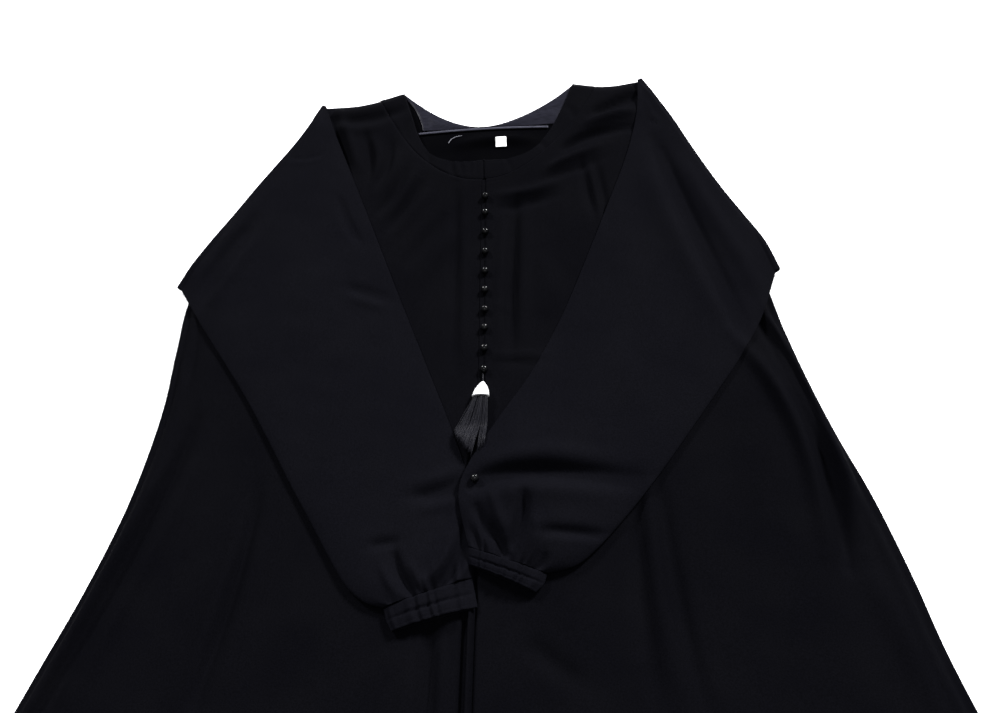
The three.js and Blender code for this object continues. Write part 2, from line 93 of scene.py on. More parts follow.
Section = namedtuple("Section", "over_x over_y under_x under_y hollow lift_over lift_under")
LEFT_SLEEVE = [
    Section(-191.7, 694.3, -324.7, 436.3, 0.3, 0, 0),
    Section(-174, 646, -297, 394, 4, 0, 0),
    Section(-147, 576, -265, 348, 5.5, 0, 0),
    Section(-122, 510, -233, 301, 5, 0, 0),
    Section(-98, 446, -204, 254, 4, 0, 0),
    Section(-74, 383, -177, 208, 4.5, 0, 0),
    Section(-49, 318, -150, 164, 5, 0, 0),
    Section(-25, 255, -130, 131, 5, 0, 0),
    Section(-9, 205, -114, 108, 6, 0, 0),
    Section(-6, 160, -97, 94, 7.5, 0, 0),
    Section(-4, 114, -80, 89, 6, 0, 0),
]
RIGHT_SLEEVE = [
    Section(188.4, 708.8, 302.4, 424.8, 0.3, 0, 0),
    Section(179, 652, 280, 369, 4.5, 0, 0),
    Section(162, 588, 254, 325, 6, 0, 0),
    Section(137, 519, 226, 286, 4.5, 0, 0),
    Section(111, 450, 197, 247, 4.5, 0, 0),
    Section(83, 380, 170, 211, 5, 0, 0),
    Section(50, 314, 144, 179, 7, 1, 0),
    Section(19, 266, 121, 153, 10, 4, 0),
    Section(-7, 222, 101, 133, 13, 7, 0),
    Section(-17, 188, 84, 121, 11, 7.5, 0),
    Section(-7, 140, 61, 116, 6, 6, 0),
]
LEFT_DENTS = [2, 8, 9, 7, 5, 4, 2, 1, 1]  # of the fold, towards the body, from shoulder to underarm
RIGHT_DENTS = [5, 5, 4, 5, 5, 4, 1, -2, 0]
LEFT_CUFF = [
    Section(-4, 113.6, -80, 88.6, 6, 0, 0),
    Section(-1.5, 101, -77, 78, 6.2, 0.2, 0.4),
    Section(1, 89, -72, 69, 6, 0.5, 1),
]
RIGHT_CUFF = [
    Section(-7, 139.6, 61, 115.6, 6, 6, 0),
    Section(-8, 132, 58, 107, 6.5, 5, 0.6),
    Section(-7, 125, 51, 100, 6.5, 4, 1),
]

Side = namedtuple("Side", "y left right")
SIDE_ROWS = [
    Side(360, 316, 300), Side(300, 317, 314), Side(240, 324, 331), Side(180, 336, 351),
    Side(110, 357, 369), Side(40, 383, 384), Side(-40, 412, 408), Side(-150, 450, 446),
    Side(-280, 490, 488), Side(-420, 531, 531), Side(-560, 573, 573), Side(SIDE_HEM_Y, 611.5, 611.5),
]
FRONT_NECK = [  # x and y down one side of the front neckline and up the other
    (-99, 710), (-86, 692), (-76, 668), (-70, 645), (-60, 620), (-43, 601), (-24, 593), (0, 590),
    (26, 590), (50, 598), (65, 614), (77, 639), (87, 670), (95, 696), (99, 710),
]
CENTRE_LINE = [(600, 3), (330, 3.5), (0, -4), (-710, 0)]  # y and x of the centre front

BUTTON_ROWS_Y = [538, 516, 490, 464, 439, 415, 391, 369, 345, 321]
LOOSE_BALL = (-2, 203)  # the one at the corner of the right sleeve's fold

# Creases: a curve through start, bend and end, how wide its side slopes are, and how high
# it stands (a trough is below 0). Both ends run out softly.
Crease = namedtuple("Crease", "start bend end width height")
CHEST_CREASES = [
    Crease((-184, 676), (-167, 630), (-150, 580), 5, -6.5),
    Crease((-176, 690), (-155, 634), (-140, 588), 5, 3.4),
    Crease((-143, 652), (-130, 606), (-131, 566), 5, -4.6),
    Crease((-132, 640), (-120, 606), (-124, 570), 5, 2.8),
    Crease((-110, 634), (-108, 598), (-122, 560), 5, -4.4),
    Crease((-100, 616), (-100, 586), (-112, 552), 5, 2.6),
    Crease((-86, 590), (-98, 552), (-118, 520), 6, -4.4),
    Crease((-76, 582), (-88, 548), (-108, 516), 6, 2.8),
    Crease((-68, 572), (-83, 534), (-105, 496), 6, -4.2),
    Crease((-58, 556), (-74, 524), (-96, 488), 7, 3.1),
    Crease((-36, 522), (-60, 484), (-82, 446), 9, -4.2),
    Crease((-24, 502), (-48, 462), (-66, 420), 9, 2.6),
    Crease((-192, 676), (-144, 668), (-92, 682), 8, -6),
    Crease((-178, 656), (-146, 650), (-116, 655), 6, 2.2),
    Crease((16, 540), (54, 543), (88, 557), 6.5, 4.4),
    Crease((14, 522), (50, 526), (86, 538), 6, -2.6),
    Crease((72, 571), (99, 588), (140, 608), 5.5, 5.4),
    Crease((68, 558), (103, 572), (146, 592), 5, -2.6),
    Crease((94, 596), (116, 620), (184, 632), 6, -7),
    Crease((112, 638), (146, 650), (180, 655), 6.5, 6),
    Crease((120, 654), (152, 669), (196, 688), 7, -8),
    Crease((112, 584), (117, 542), (122, 506), 5, -4.6),
    Crease((127, 584), (133, 532), (139, 482), 5, -4.6),
    Crease((121, 576), (126, 536), (130, 496), 5, 2.6),
    Crease((-29, 560), (-28, 446), (-27, 328), 4.5, -5),
    Crease((-19, 552), (-18, 446), (-17, 338), 5, 1.8),
    Crease((37, 536), (33, 436), (30, 332), 5.5, -7.5),
    Crease((25, 516), (21, 436), (19, 348), 5, 2.2),
    Crease((48, 524), (44, 436), (41, 346), 7, 3.4),
    Crease((8, 337), (40, 336), (74, 333), 3.2, 2.1),
    Crease((8, 330), (40, 328), (74, 325), 4.5, -1.6),
    Crease((12, 396), (22, 395), (32, 393), 3, 1.1),
    Crease((60, 466), (70, 426), (74, 376), 14, 2.1),
]
SKIRT_CREASES = [
    Crease((-301, 392), (-299, 358), (-296, 322), 5, -3.5),
    Crease((-278, 278), (-320, 140), (-384, -26), 6.5, -9),
    Crease((-262, 256), (-302, 132), (-362, -24), 9, 4.4),
    Crease((-297, 250), (-338, 120), (-400, -34), 8, 4.2),
    Crease((-206, 204), (-217, 112), (-241, -10), 6, -6),
    Crease((-192, 176), (-203, 92), (-224, -12), 9, 2.6),
    Crease((-221, 168), (-232, 92), (-254, -12), 8, 2.4),
    Crease((-40, 84), (-41, 30), (-43, -34), 5, -7),
    Crease((-55, 66), (-56, 20), (-58, -40), 7, 2.6),
    Crease((-29, 62), (-29, 20), (-31, -30), 5, 3),
    Crease((-64, 57), (-70, -3), (-76, -93), 13.3, 3),
    Crease((262, 398), (307, 272), (316, 116), 5.5, -15),
    Crease((246, 350), (292, 256), (300, 130), 8, 8),
    Crease((280, 376), (321, 268), (332, 130), 7, 9),
    Crease((146, 206), (140, 110), (147, 4), 6.5, -5.6),
    Crease((165, 206), (170, 109), (184, 4), 6.5, -5.8),
    Crease((155, 196), (155, 108), (165, 8), 6, 3.4),
    Crease((44, 63), (62, 43), (92, 23), 8.5, -3.8),
    Crease((330, 117), (352, 57), (372, -33), 13.3, 4.1),
    Crease((-395, 7), (-430, -133), (-470, -293), 15.2, 5.6),
    Crease((-352, 37), (-396, -143), (-446, -333), 13.3, -6.1),
    Crease((-228, -13), (-250, -183), (-290, -403), 17.1, 6.1),
    Crease((-196, -63), (-214, -233), (-236, -473), 14.2, -5.6),
    Crease((-90, -63), (-106, -263), (-128, -523), 17.1, 5.1),
    Crease((-56, -203), (-66, -403), (-84, -643), 14.2, -4.7),
    Crease((66, -33), (78, -263), (96, -523), 17.1, 5.6),
    Crease((116, -113), (134, -333), (150, -603), 14.2, -5.1),
    Crease((206, 7), (238, -203), (280, -443), 17.1, 6.6),
    Crease((262, -63), (300, -283), (344, -523), 14.2, -6.1),
    Crease((372, -23), (414, -203), (462, -403), 15.2, 5.6),
    Crease((-470, -333), (-500, -483), (-530, -643), 17.1, -5.6),
    Crease((-330, -363), (-360, -523), (-392, -675), 19, 6.6),
    Crease((430, -343), (468, -503), (500, -653), 17.1, -5.6),
    Crease((330, -423), (356, -563), (384, -679), 19, 6.1),
    Crease((190, -433), (204, -563), (216, -693), 19, 5.1),
    Crease((-190, -463), (-206, -583), (-216, -693), 19, 5.1),
    Crease((8, -423), (10, -563), (12, -693), 17.1, 4.1),
]
INNER_RIDGES = [  # inside the open neck, where the back stands up a little
    Crease((-40, 622), (14, 628), (64, 623), 8, 5.5),
]
BAND_CREASES = [
    Crease((-34, 596), (-34, 582), (-30, 566), 3.2, -2),
    Crease((-25, 598), (-24, 584), (-22, 568), 2.6, -1.2),
    Crease((-15, 596), (-13, 582), (-14, 568), 2.6, -1.2),
    Crease((-8, 594), (-6, 582), (-6, 566), 2.2, -0.9),
    Crease((-58, 618), (-62, 602), (-58, 586), 4, -1.7),
    Crease((24, 596), (30, 584), (34, 568), 3.5, -1),
    Crease((58, 620), (70, 608), (76, 594), 4, -1.4),
    Crease((-86, 664), (-92, 646), (-88, 628), 5, -1.4),
    Crease((88, 672), (98, 660), (102, 646), 5, -1.4),
]
LEFT_SLEEVE_CREASES = [
    Crease((-300, 416), (-282, 454), (-256, 516), 7, -8),
    Crease((-287, 406), (-268, 446), (-244, 500), 8, 3.6),
    Crease((-308, 444), (-294, 472), (-274, 514), 7, 2.4),
    Crease((-142, 424), (-116, 415), (-92, 406), 5.5, -4.6),
    Crease((-140, 412), (-118, 404), (-96, 396), 6, 2.1),
    Crease((-160, 548), (-148, 512), (-130, 480), 5, -4.2),
    Crease((-4, 208), (-28, 194), (-64, 188), 6, -6.6),
    Crease((-10, 222), (-32, 208), (-62, 202), 6, 2.4),
    Crease((-12, 190), (-30, 180), (-58, 174), 6, 2.2),
    Crease((-97, 142), (-84, 145), (-68, 147), 5, -3.9),
    Crease((-74, 140), (-67, 118), (-54, 98), 4, -6.8),
    Crease((-84, 128), (-76, 110), (-64, 94), 4, 2.6),
    Crease((-58, 128), (-50, 112), (-42, 100), 4, 3),
    Crease((-10, 166), (-18, 128), (-42, 98), 4, -9),
    Crease((-22, 156), (-29, 128), (-48, 108), 4.5, 4.2),
    Crease((-4, 146), (-9, 122), (-22, 102), 4, 4),
    Crease((-196, 610), (-216, 554), (-240, 500), 16, 2.2),
    Crease((-226, 594), (-262, 524), (-292, 468), 12, 2.6),
    Crease((-160, 464), (-178, 404), (-186, 344), 20, 2.2),
    Crease((-130, 324), (-140, 274), (-144, 224), 18, 1.9),
    Crease((-228, 610), (-206, 605), (-183, 615), 2.2, -1.8),
    Crease((-228, 605), (-206, 600), (-182, 608), 3, 1.4),
]
RIGHT_SLEEVE_CREASES = [
    Crease((194, 604), (224, 474), (262, 340), 9, -12),
    Crease((176, 582), (208, 462), (244, 362), 14, 3.4),
    Crease((222, 576), (254, 474), (284, 388), 10, 3.8),
    Crease((-12, 190), (44, 207), (156, 195), 8.5, -13),
    Crease((0, 212), (52, 227), (140, 216), 9, 3),
    Crease((8, 184), (56, 189), (130, 182), 10, 3),
    Crease((54, 151), (86, 150), (118, 147), 5, -5.6),
    Crease((-2, 180), (4, 164), (15, 142), 4.5, -4.5),
    Crease((12, 188), (18, 170), (24, 150), 5.5, 3.4),
    Crease((40, 192), (41, 168), (28, 134), 5, -7.4),
    Crease((12, 162), (20, 144), (27, 126), 4, -6.6),
    Crease((52, 166), (52, 146), (42, 124), 5, 3),
    Crease((-8, 160), (0, 144), (8, 130), 4, -3.6),
    Crease((60, 134), (56, 122), (46, 112), 4, -3.6),
    Crease((144, 532), (150, 462), (160, 402), 20, 2),
    Crease((120, 352), (140, 312), (150, 262), 18, 1.9),
    Crease((190, 638), (198, 632), (210, 629), 2.2, -1.6),
    Crease((196, 692), (204, 660), (212, 632), 6, -2.4),
]


# ---- small helpers for curves and heights ----


def smooth(t):
    """0 to 1 with level ends: 3t^2 - 2t^3 of t held between 0 and 1."""
    t = np.clip(t, 0, 1)
    return t * t * (3 - 2 * t)


def mix(a, b, t):
    """a at t = 0 and b at t = 1."""
    return a + (b - a) * t


def bell(distance, width):
    """1 at no distance, fading both ways: exp of minus (distance / width) squared."""
    return np.exp(-((distance / width) ** 2))


def curve_through(start, bend, end, count=18):
    """Points along a parabola that starts at start, passes bend half way and ends at end."""
    t = np.linspace(0, 1, count)[:, None]
    start, bend, end = (np.array(p, float) for p in (start, bend, end))
    control = 2 * bend - (start + end) / 2
    return start * (1 - t) ** 2 + 2 * control * t * (1 - t) + end * t**2


def nearest(x, y, line):
    """Distance from each point to a polyline, and how far along it, 0 to 1, the nearest place is."""
    a, b = line[:-1], line[1:]
    span = b - a
    length2 = (span**2).sum(1)
    px, py = x[..., None] - a[:, 0], y[..., None] - a[:, 1]
    t = np.clip((px * span[:, 0] + py * span[:, 1]) / length2, 0, 1)
    gap = np.hypot(px - t * span[:, 0], py - t * span[:, 1])
    pick = gap.argmin(-1)
    along = np.take_along_axis(t, pick[..., None], -1)[..., 0]
    return gap.min(-1), (pick + along) / len(a)


def creases(x, y, table):
    """Height of a table of creases: each is height times a bell of the distance to its line, fading at both
    ends as a sine."""
    total = np.zeros_like(x)
    for crease in table:
        line = curve_through(crease.start, crease.bend, crease.end)
        reach = 3 * crease.width
        low, high = line.min(0) - reach, line.max(0) + reach
        inside = (x > low[0]) & (x < high[0]) & (y > low[1]) & (y < high[1])
        distance, along = nearest(x[inside], y[inside], line)
        fade = np.sin(np.pi * np.clip(along, 0.02, 0.98)) ** 0.6
        total[inside] += crease.height * bell(distance, crease.width) * fade
    return total


def unevenness(x, y, wavelength, seed, waves=7):
    """A slow random surface between about -1 and 1: plane waves of that wavelength in seeded directions."""
    rng = np.random.default_rng(seed)
    angle = rng.uniform(0, 2 * np.pi, waves)
    number = 2 * np.pi / (wavelength * rng.uniform(0.7, 1.5, waves))
    phase = rng.uniform(0, 2 * np.pi, waves)
    along = x[..., None] * np.cos(angle) + y[..., None] * np.sin(angle)
    return np.sin(along * number + phase).sum(-1) / math.sqrt(waves * 2)


# ---- the garment's lines ----


def scoop(x, half, top, shape):
    """A neck curve: top less depth at the centre, rising by depth as |x| / half to a power."""
    depth, power = shape
    return top - depth + depth * (np.abs(x) / half) ** power


def front_neck_y(x):
    """Edge of the front neckline: a smooth curve through its points, read off at x."""
    edge = spline(FRONT_NECK, np.linspace(0, len(FRONT_NECK) - 1, 400))
    return np.interp(x, edge[:, 0], edge[:, 1])


def back_neck_y(x):
    """Edge of the back neckline."""
    return scoop(x, NECK_HALF, NECK_TOP_Y, NECK_BACK)


def band_seam_y(x):
    """Seam between the neck band and the front."""
    return scoop(x, BAND_HALF, BAND_TOP_Y, BAND_SEAM)


def shoulder_y(x):
    """The shoulder seam: straight from the neck point to the sleeve's fold, with half a sine of sag."""
    x = np.asarray(x, float)
    tip_x = np.where(x < 0, -LEFT_SLEEVE[0].over_x, RIGHT_SLEEVE[0].over_x)
    tip_y = np.where(x < 0, LEFT_SLEEVE[0].over_y, RIGHT_SLEEVE[0].over_y)
    share = (np.abs(x) - NECK_HALF) / (tip_x - NECK_HALF)
    return mix(NECK_TOP_Y, tip_y, share) - SHOULDER_SAG * np.sin(np.pi * np.clip(share, 0, 1))


def pulled_right(x, y):
    """x of the neck's pieces as they lie: the neck opening is pulled over by 8 mm at its right point and
    3 mm at its left one, fading out below the neckline and along the shoulders."""
    return x + smooth((y - 590) / 100) * (8 * bell(x - 100, 55) + 3 * bell(x + 90, 45))


def centre_x(y):
    """The centre front line at a height."""
    rows = np.array(CENTRE_LINE[::-1], float)
    return np.interp(y, rows[:, 0], rows[:, 1])


def fold_line(table):
    """Ends of the line that a sleeve folds along, and the direction from it into the body."""
    over = np.array([table[0].over_x, table[0].over_y])
    under = np.array([table[0].under_x, table[0].under_y])
    along = (under - over) / np.linalg.norm(under - over)
    inward = np.array([-along[1], along[0]]) * (1 if over[0] < 0 else -1)
    return over, under, inward


def inside_fold(table, inset):
    """The fold line moved into the body: its upper end slides along the shoulder seam."""
    over, under, inward = fold_line(table)
    x = over[0] - np.sign(over[0]) * inset / abs(inward[0])
    return np.array([x, shoulder_y(x)]), under + inward * inset


def side_edge(sign, rows):
    """Points down one side of a panel, evenly spaced: along the sleeve's seam, then down the side seam."""
    over, under = inside_fold(LEFT_SLEEVE if sign < 0 else RIGHT_SLEEVE, SEAM_INSET + 0.1)
    seam = [(sign * (row.left if sign < 0 else row.right), row.y) for row in SIDE_ROWS]
    points = np.array([over, *[mix(over, under, t) for t in (0.25, 0.5, 0.75)], under, *seam])
    return along_points(points, rows)


def along_points(points, shares):
    """Points at given shares of the length of a smooth (Catmull-Rom) curve through points."""
    fine = spline(points, np.linspace(0, len(points) - 1, 60 * len(points)))
    length = np.concatenate([[0], np.cumsum(np.linalg.norm(np.diff(fine, axis=0), axis=1))])
    wanted = np.asarray(shares) * length[-1]
    return np.stack([np.interp(wanted, length, fine[:, k]) for k in range(fine.shape[1])], 1)


def spline(points, t):
    """A Catmull-Rom curve through rows of numbers: at row i + f, the cubic with central-difference slopes."""
    points = np.asarray(points, float)
    last = len(points) - 1
    i = np.clip(np.floor(t).astype(int), 0, last - 1)
    f = (np.asarray(t) - i)[:, None]
    p0, p1 = points[np.maximum(i - 1, 0)], points[i]
    p2, p3 = points[i + 1], points[np.minimum(i + 2, last)]
    straight = 2 * p1 + (p2 - p0) * f
    bend = (2 * p0 - 5 * p1 + 4 * p2 - p3) * f**2 + (3 * p1 - p0 - 3 * p2 + p3) * f**3
    return (straight + bend) / 2


# ---- heights of the layers as they lie ----


def along_hang(x, y):
    """How far across the skirt a point is, 0 at the centre line and 1 at the side seam, as it fans out."""
    rows = np.array([(row.y, row.right) for row in SIDE_ROWS[::-1]], float)
    return x / np.interp(y, rows[:, 0], rows[:, 1])


def front_level(x, y):
    """The front without its creases: it lies on the back with a little air, thicker at the neckline and away
    from the side seams, and the skirt has slow waves that run with its hang."""
    across = np.clip(1 - (x / 115) ** 2, 0, 1)
    neck = NECK_LIFT * across * bell(y - front_neck_y(0), 40)
    fan = along_hang(x, y)
    air = 4.2 * smooth((1 - np.abs(fan)) / 0.12)
    loose = smooth((330 - y) / 200)
    chest = 0.35 * unevenness(x, y, 120, 3)
    hang = 1.1 * unevenness(fan * 620, y * 0.12, 210, 8) + 0.6 * unevenness(fan * 620, y * 0.15, 95, 9)
    return LAYER_TOP + neck + air + mix(chest, hang, loose)


def front_height(x, y):
    """Top of the front: its level and its creases. Below TROUGH_FLOOR a trough keeps 0.15 of its depth; the
    deepest still sink into the back's thickness."""
    height = front_level(x, y) + creases(x, y, CHEST_CREASES) + creases(x, y, SKIRT_CREASES)
    return np.where(height > TROUGH_FLOOR, height, TROUGH_FLOOR + 0.15 * (height - TROUGH_FLOOR))


def sleeve_bed(x, y):
    """What the sleeves lie on: the front's level, lifted smoothly over its ridges but not let into troughs."""
    ridge = creases(x, y, CHEST_CREASES) + creases(x, y, SKIRT_CREASES)
    return front_level(x, y) + 0.5 * (ridge + np.sqrt(ridge**2 + 1)) - 0.2


def back_height(x, y):
    """Top of the back panel: level, with a soft ridge where the open neck lets it stand up."""
    return CLOTH + np.maximum(creases(x, y, INNER_RIDGES), 0)


# ---- meshes ----


def add_mesh(name, points, faces):
    """A mesh object in metres from points in millimetres, smooth shaded."""
    mesh = bpy.data.meshes.new(name)
    mesh.from_pydata((np.asarray(points) * MM).tolist(), [], faces.tolist())
    mesh.polygons.foreach_set("use_smooth", np.ones(len(mesh.polygons), bool))
    mesh.update()
    made = bpy.data.objects.new(name, mesh)
    bpy.context.scene.collection.objects.link(made)
    return made


def grid_faces(rows, columns, closed=False):
    """Quads between neighbouring rows and columns; closed joins the last column to the first."""
    r = np.arange(rows - 1)[:, None]
    c = np.arange(columns if closed else columns - 1)[None]
    after = (c + 1) % columns
    corners = [r * columns + c, (r + 1) * columns + c, (r + 1) * columns + after, r * columns + after]
    return np.stack(corners, -1).reshape(-1, 4)


def volume_of(points, faces):
    """Six times the signed volume under quads, taken from the middle of their box."""
    centred = points - (points.min(0) + points.max(0)) / 2
    a, b, c, d = (centred[faces[:, k]] for k in range(4))
    return (a * np.cross(b, c)).sum() + (a * np.cross(c, d)).sum()


def cloth_sheet(name, x, y, z, thickness=CLOTH):
    """A sheet of cloth from grids of its top face's points, turned face up and given its thickness below."""
    points = np.stack([x, y, z], -1)
    faces = grid_faces(*x.shape)
    flat = points.reshape(-1, 3)
    first = np.cross(flat[faces[:, 1]] - flat[faces[:, 0]], flat[faces[:, 2]] - flat[faces[:, 0]])
    if first[:, 2].sum() < 0:
        faces = faces[:, ::-1]
    return thicken(add_mesh(name, flat, faces), thickness)


def cloth_tube(name, points, thickness=CLOTH):
    """A tube of cloth, open at both ends, from rings of its outer face's points."""
    faces = grid_faces(*points.shape[:2], closed=True)
    flat = points.reshape(-1, 3)
    if volume_of(flat, faces) < 0:
        faces = faces[:, ::-1]
    return thicken(add_mesh(name, flat, faces), thickness)


def thicken(piece, thickness):
    """Gives a surface its wall, on the inner side of its faces."""
    wall = piece.modifiers.new("wall", "SOLIDIFY")
    wall.thickness = thickness * MM
    wall.offset = -1
    return piece


def closed_tube(name, paths, radii, sides=6):
    """Closed round tubes joined in one mesh. paths is (tubes, steps, 3), radii (tubes, steps): each ring lies
    square to the path, and a flat face closes each end."""
    tubes, steps = paths.shape[:2]
    ahead = np.gradient(paths, axis=1)
    ahead /= np.linalg.norm(ahead, axis=2, keepdims=True)
    up = np.broadcast_to(np.array([0.03, 0.05, 1.0]), ahead.shape)
    side = np.cross(ahead, up)
    side /= np.linalg.norm(side, axis=2, keepdims=True)
    other = np.cross(side, ahead)
    angle = np.linspace(0, 2 * np.pi, sides, endpoint=False)
    ring = side[:, :, None] * np.cos(angle)[:, None] + other[:, :, None] * np.sin(angle)[:, None]
    points = paths[:, :, None] + ring * radii[:, :, None, None]
    body = grid_faces(steps, sides, closed=True)
    start = np.arange(sides)
    faces = body[None] + (np.arange(tubes) * steps * sides)[:, None, None]
    if volume_of(points[0].reshape(-1, 3), body) < 0:
        faces = faces[..., ::-1]
        start = start[::-1]
    made = add_mesh(name, points.reshape(-1, 3), faces.reshape(-1, 4))
    close_ends(made.data)
    return made


def close_ends(mesh):
    """Fills the open ends of a mesh's tubes, with every face turned outwards."""
    work = bmesh.new()
    work.from_mesh(mesh)
    bmesh.ops.holes_fill(work, edges=[e for e in work.edges if e.is_boundary], sides=0)
    bmesh.ops.recalc_face_normals(work, faces=work.faces)
    work.to_mesh(mesh)
    work.free()


# ---- materials ----


def linear(hex_colour):
    """An sRGB hex colour as linear red, green, blue and alpha."""
    channels = [int(hex_colour[i : i + 2], 16) / 255 for i in (1, 3, 5)]
    return [c / 12.92 if c <= 0.04045 else ((c + 0.055) / 1.055) ** 2.4 for c in channels] + [1]


def add_node(tree, kind, inputs=None, **settings):
    """Adds a node with its settings; each input is a number, a colour or another node's output to link."""
    made = tree.nodes.new(kind)
    for key, value in settings.items():
        setattr(made, key, value)
    for socket, value in (inputs or {}).items():
        if isinstance(value, bpy.types.NodeSocket):
            tree.links.new(value, made.inputs[socket])
        else:
            made.inputs[socket].default_value = value
    return made


def new_material(name):
    """An empty material, its tree and the object coordinates that its patterns read."""
    material = bpy.data.materials.new(name)
    material.use_nodes = True
    tree = material.node_tree
    tree.nodes.clear()
    place = add_node(tree, "ShaderNodeTexCoord").outputs["Object"]
    return material, tree, place


def surface(tree, **inputs):
    """The shader and the output, from inputs named as the shader's sockets with _ for a space."""
    named = {key.replace("_", " "): value for key, value in inputs.items()}
    shader = add_node(tree, "ShaderNodeBsdfPrincipled", named)
    add_node(tree, "ShaderNodeOutputMaterial", {"Surface": shader.outputs["BSDF"]})


def per_mm(size):
    """Noise scale, in cells a metre, of a pattern whose cells are size mm across."""
    return 1000 / size


def noise(tree, place, size, detail):
    """Noise whose cells are size mm across."""
    inputs = {"Vector": place, "Scale": per_mm(size), "Detail": detail}
    return add_node(tree, "ShaderNodeTexNoise", inputs).outputs["Fac"]


def bump(tree, height, strength, depth):
    """The face tilted by the slopes of a pattern up to depth mm deep."""
    inputs = {"Height": height, "Strength": strength, "Distance": depth * MM}
    return add_node(tree, "ShaderNodeBump", inputs).outputs["Normal"]


def between(tree, value, low, high, span=(0, 1)):
    """A value that runs from low to high as another runs over span."""
    inputs = {"Value": value, "From Min": span[0], "From Max": span[1], "To Min": low, "To Max": high}
    return add_node(tree, "ShaderNodeMapRange", inputs).outputs["Result"]


def two_colours(tree, place, size, dark, light, detail=3):
    """Noise of one cell size between two colours."""
    ramp = add_node(tree, "ShaderNodeValToRGB", {"Fac": noise(tree, place, size, detail)})
    ramp.color_ramp.elements[0].position = 0.35
    ramp.color_ramp.elements[1].position = 0.65
    ramp.color_ramp.elements[0].color = linear(dark)
    ramp.color_ramp.elements[1].color = linear(light)
    return ramp.outputs["Color"]


def black_crepe(name, dark, light):
    """Polyester crepe, woven of hard-twisted yarn: matt black with a pebbled face whose grains, about 0.6 mm,
    are drawn at 1.4 mm so that they show, a faint cool sheen, and slow tone changes where it was pressed."""
    material, tree, place = new_material(name)
    tone = two_colours(tree, place, 60, dark, light, detail=2)
    grain = noise(tree, place, 1.4, 4)
    speck = between(tree, grain, 0.75, 1.25, span=(0.3, 0.7))
    colour = add_node(tree, "ShaderNodeVectorMath", {0: tone, 1: speck}, operation="MULTIPLY")
    surface(
        tree, Base_Color=colour.outputs["Vector"], Roughness=between(tree, grain, 0.75, 0.95),
        Normal=bump(tree, grain, 0.45, 0.3), Specular_IOR_Level=0.006, Sheen_Weight=0.002,
        Sheen_Roughness=0.4, Sheen_Tint=linear("#aab0d8"),
    )
    return material


def grey_satin(name, dark, light):
    """Acetate satin: long floats, about 0.3 mm apart, drawn 0.9 mm apart, give it a soft streaked shine; the
    two greys and their streaks are painted sheen on black satin.
    """
    material, tree, place = new_material(name)
    mapping = add_node(tree, "ShaderNodeMapping", {"Vector": place, "Scale": (0.12, 1.0, 1.0)})
    stretched = mapping.outputs["Vector"]
    threads = noise(tree, stretched, 0.9, 2)
    surface(
        tree, Base_Color=two_colours(tree, stretched, 0.9, dark, light), Specular_IOR_Level=0.03,
        Roughness=between(tree, threads, 0.32, 0.5), Normal=bump(tree, threads, 0.4, 0.15),
    )
    return material


def label_tape():
    """Bleached woven tape: white, with ribs 0.5 mm apart across it."""
    material, tree, place = new_material("white_woven_tape")
    ribs = add_node(
        tree, "ShaderNodeTexWave", {"Vector": place, "Scale": per_mm(0.5) / 20, "Distortion": 0.6},
        bands_direction="Y",
    )
    colour = two_colours(tree, place, 0.8, "#f4f4f2", "#ffffff")
    surface(tree, Base_Color=colour, Roughness=0.8, Normal=bump(tree, ribs.outputs["Fac"], 0.3, 0.1))
    return material


def polished_black():
    """Moulded acrylic, polished: near-black, with fine handling marks in the gloss."""
    material, tree, place = new_material("polished_black_acrylic")
    rough = between(tree, noise(tree, place, 1.5, 6), 0.07, 0.13)
    colour = two_colours(tree, place, 4, "#040405", "#08080a")
    surface(tree, Base_Color=colour, Roughness=rough, Specular_IOR_Level=0.14)
    return material


def plated_metal():
    """Zinc alloy plated bright nickel: near-white metal with a slightly uneven polish."""
    material, tree, place = new_material("bright_nickel_plate")
    rough = between(tree, noise(tree, place, 3, 5), 0.5, 0.65)
    colour = two_colours(tree, place, 5, "#f2f2f6", "#ffffff")
    surface(tree, Base_Color=colour, Metallic=1.0, Roughness=rough)
    return material


def silk_thread(name, dark, light):
    """Viscose floss: smooth threads with a long soft highlight, no two quite the same grey."""
    material, tree, place = new_material(name)
    colour = two_colours(tree, place, 1.6, dark, light)
    rough = between(tree, noise(tree, place, 0.5, 2), 0.35, 0.55)
    surface(tree, Base_Color=colour, Roughness=rough, Specular_IOR_Level=0.04)
    return material


def white_table():
    """A matt white table top with the faintest mottle."""
    material, tree, place = new_material("matt_white_laminate")
    colour = two_colours(tree, place, 120, "#f7f7f8", "#fbfbfc")
    surface(tree, Base_Color=colour, Roughness=0.9, Specular_IOR_Level=0.1)
    return material


# The folded sleeves get a lighter copy of the body's crepe, as painted light; the wrong side, inside the back,
# a darker copy, as painted shade.
CREPE = black_crepe("black_polyester_crepe", "#040406", "#050507")
# Painted light: the sleeves' crepe is a lighter copy of the body's.
SLEEVE_CREPE_PAINTED_LIGHTER = black_crepe("black_polyester_crepe_sleeves_painted_lighter", "#060609", "#07070a")
# Painted shade: the back's wrong side is a darker copy of the crepe, for the shade inside the open neck.
WRONG_SIDE_PAINTED_SHADE = black_crepe("black_crepe_wrong_side_painted_shade", "#010102", "#020203")
# Painted sheen: the facing's grey stands for the shine on black satin.
SATIN_PAINTED_SHEEN = grey_satin("acetate_satin_painted_sheen", "#101016", "#181820")
# Painted sheen: the tape's light grey stands for the shine on its satin.
TAPE_PAINTED_SHEEN = grey_satin("satin_tape_painted_sheen", "#2c2c34", "#3c3c45")
LABEL = label_tape()
ACRYLIC = polished_black()
NICKEL = plated_metal()
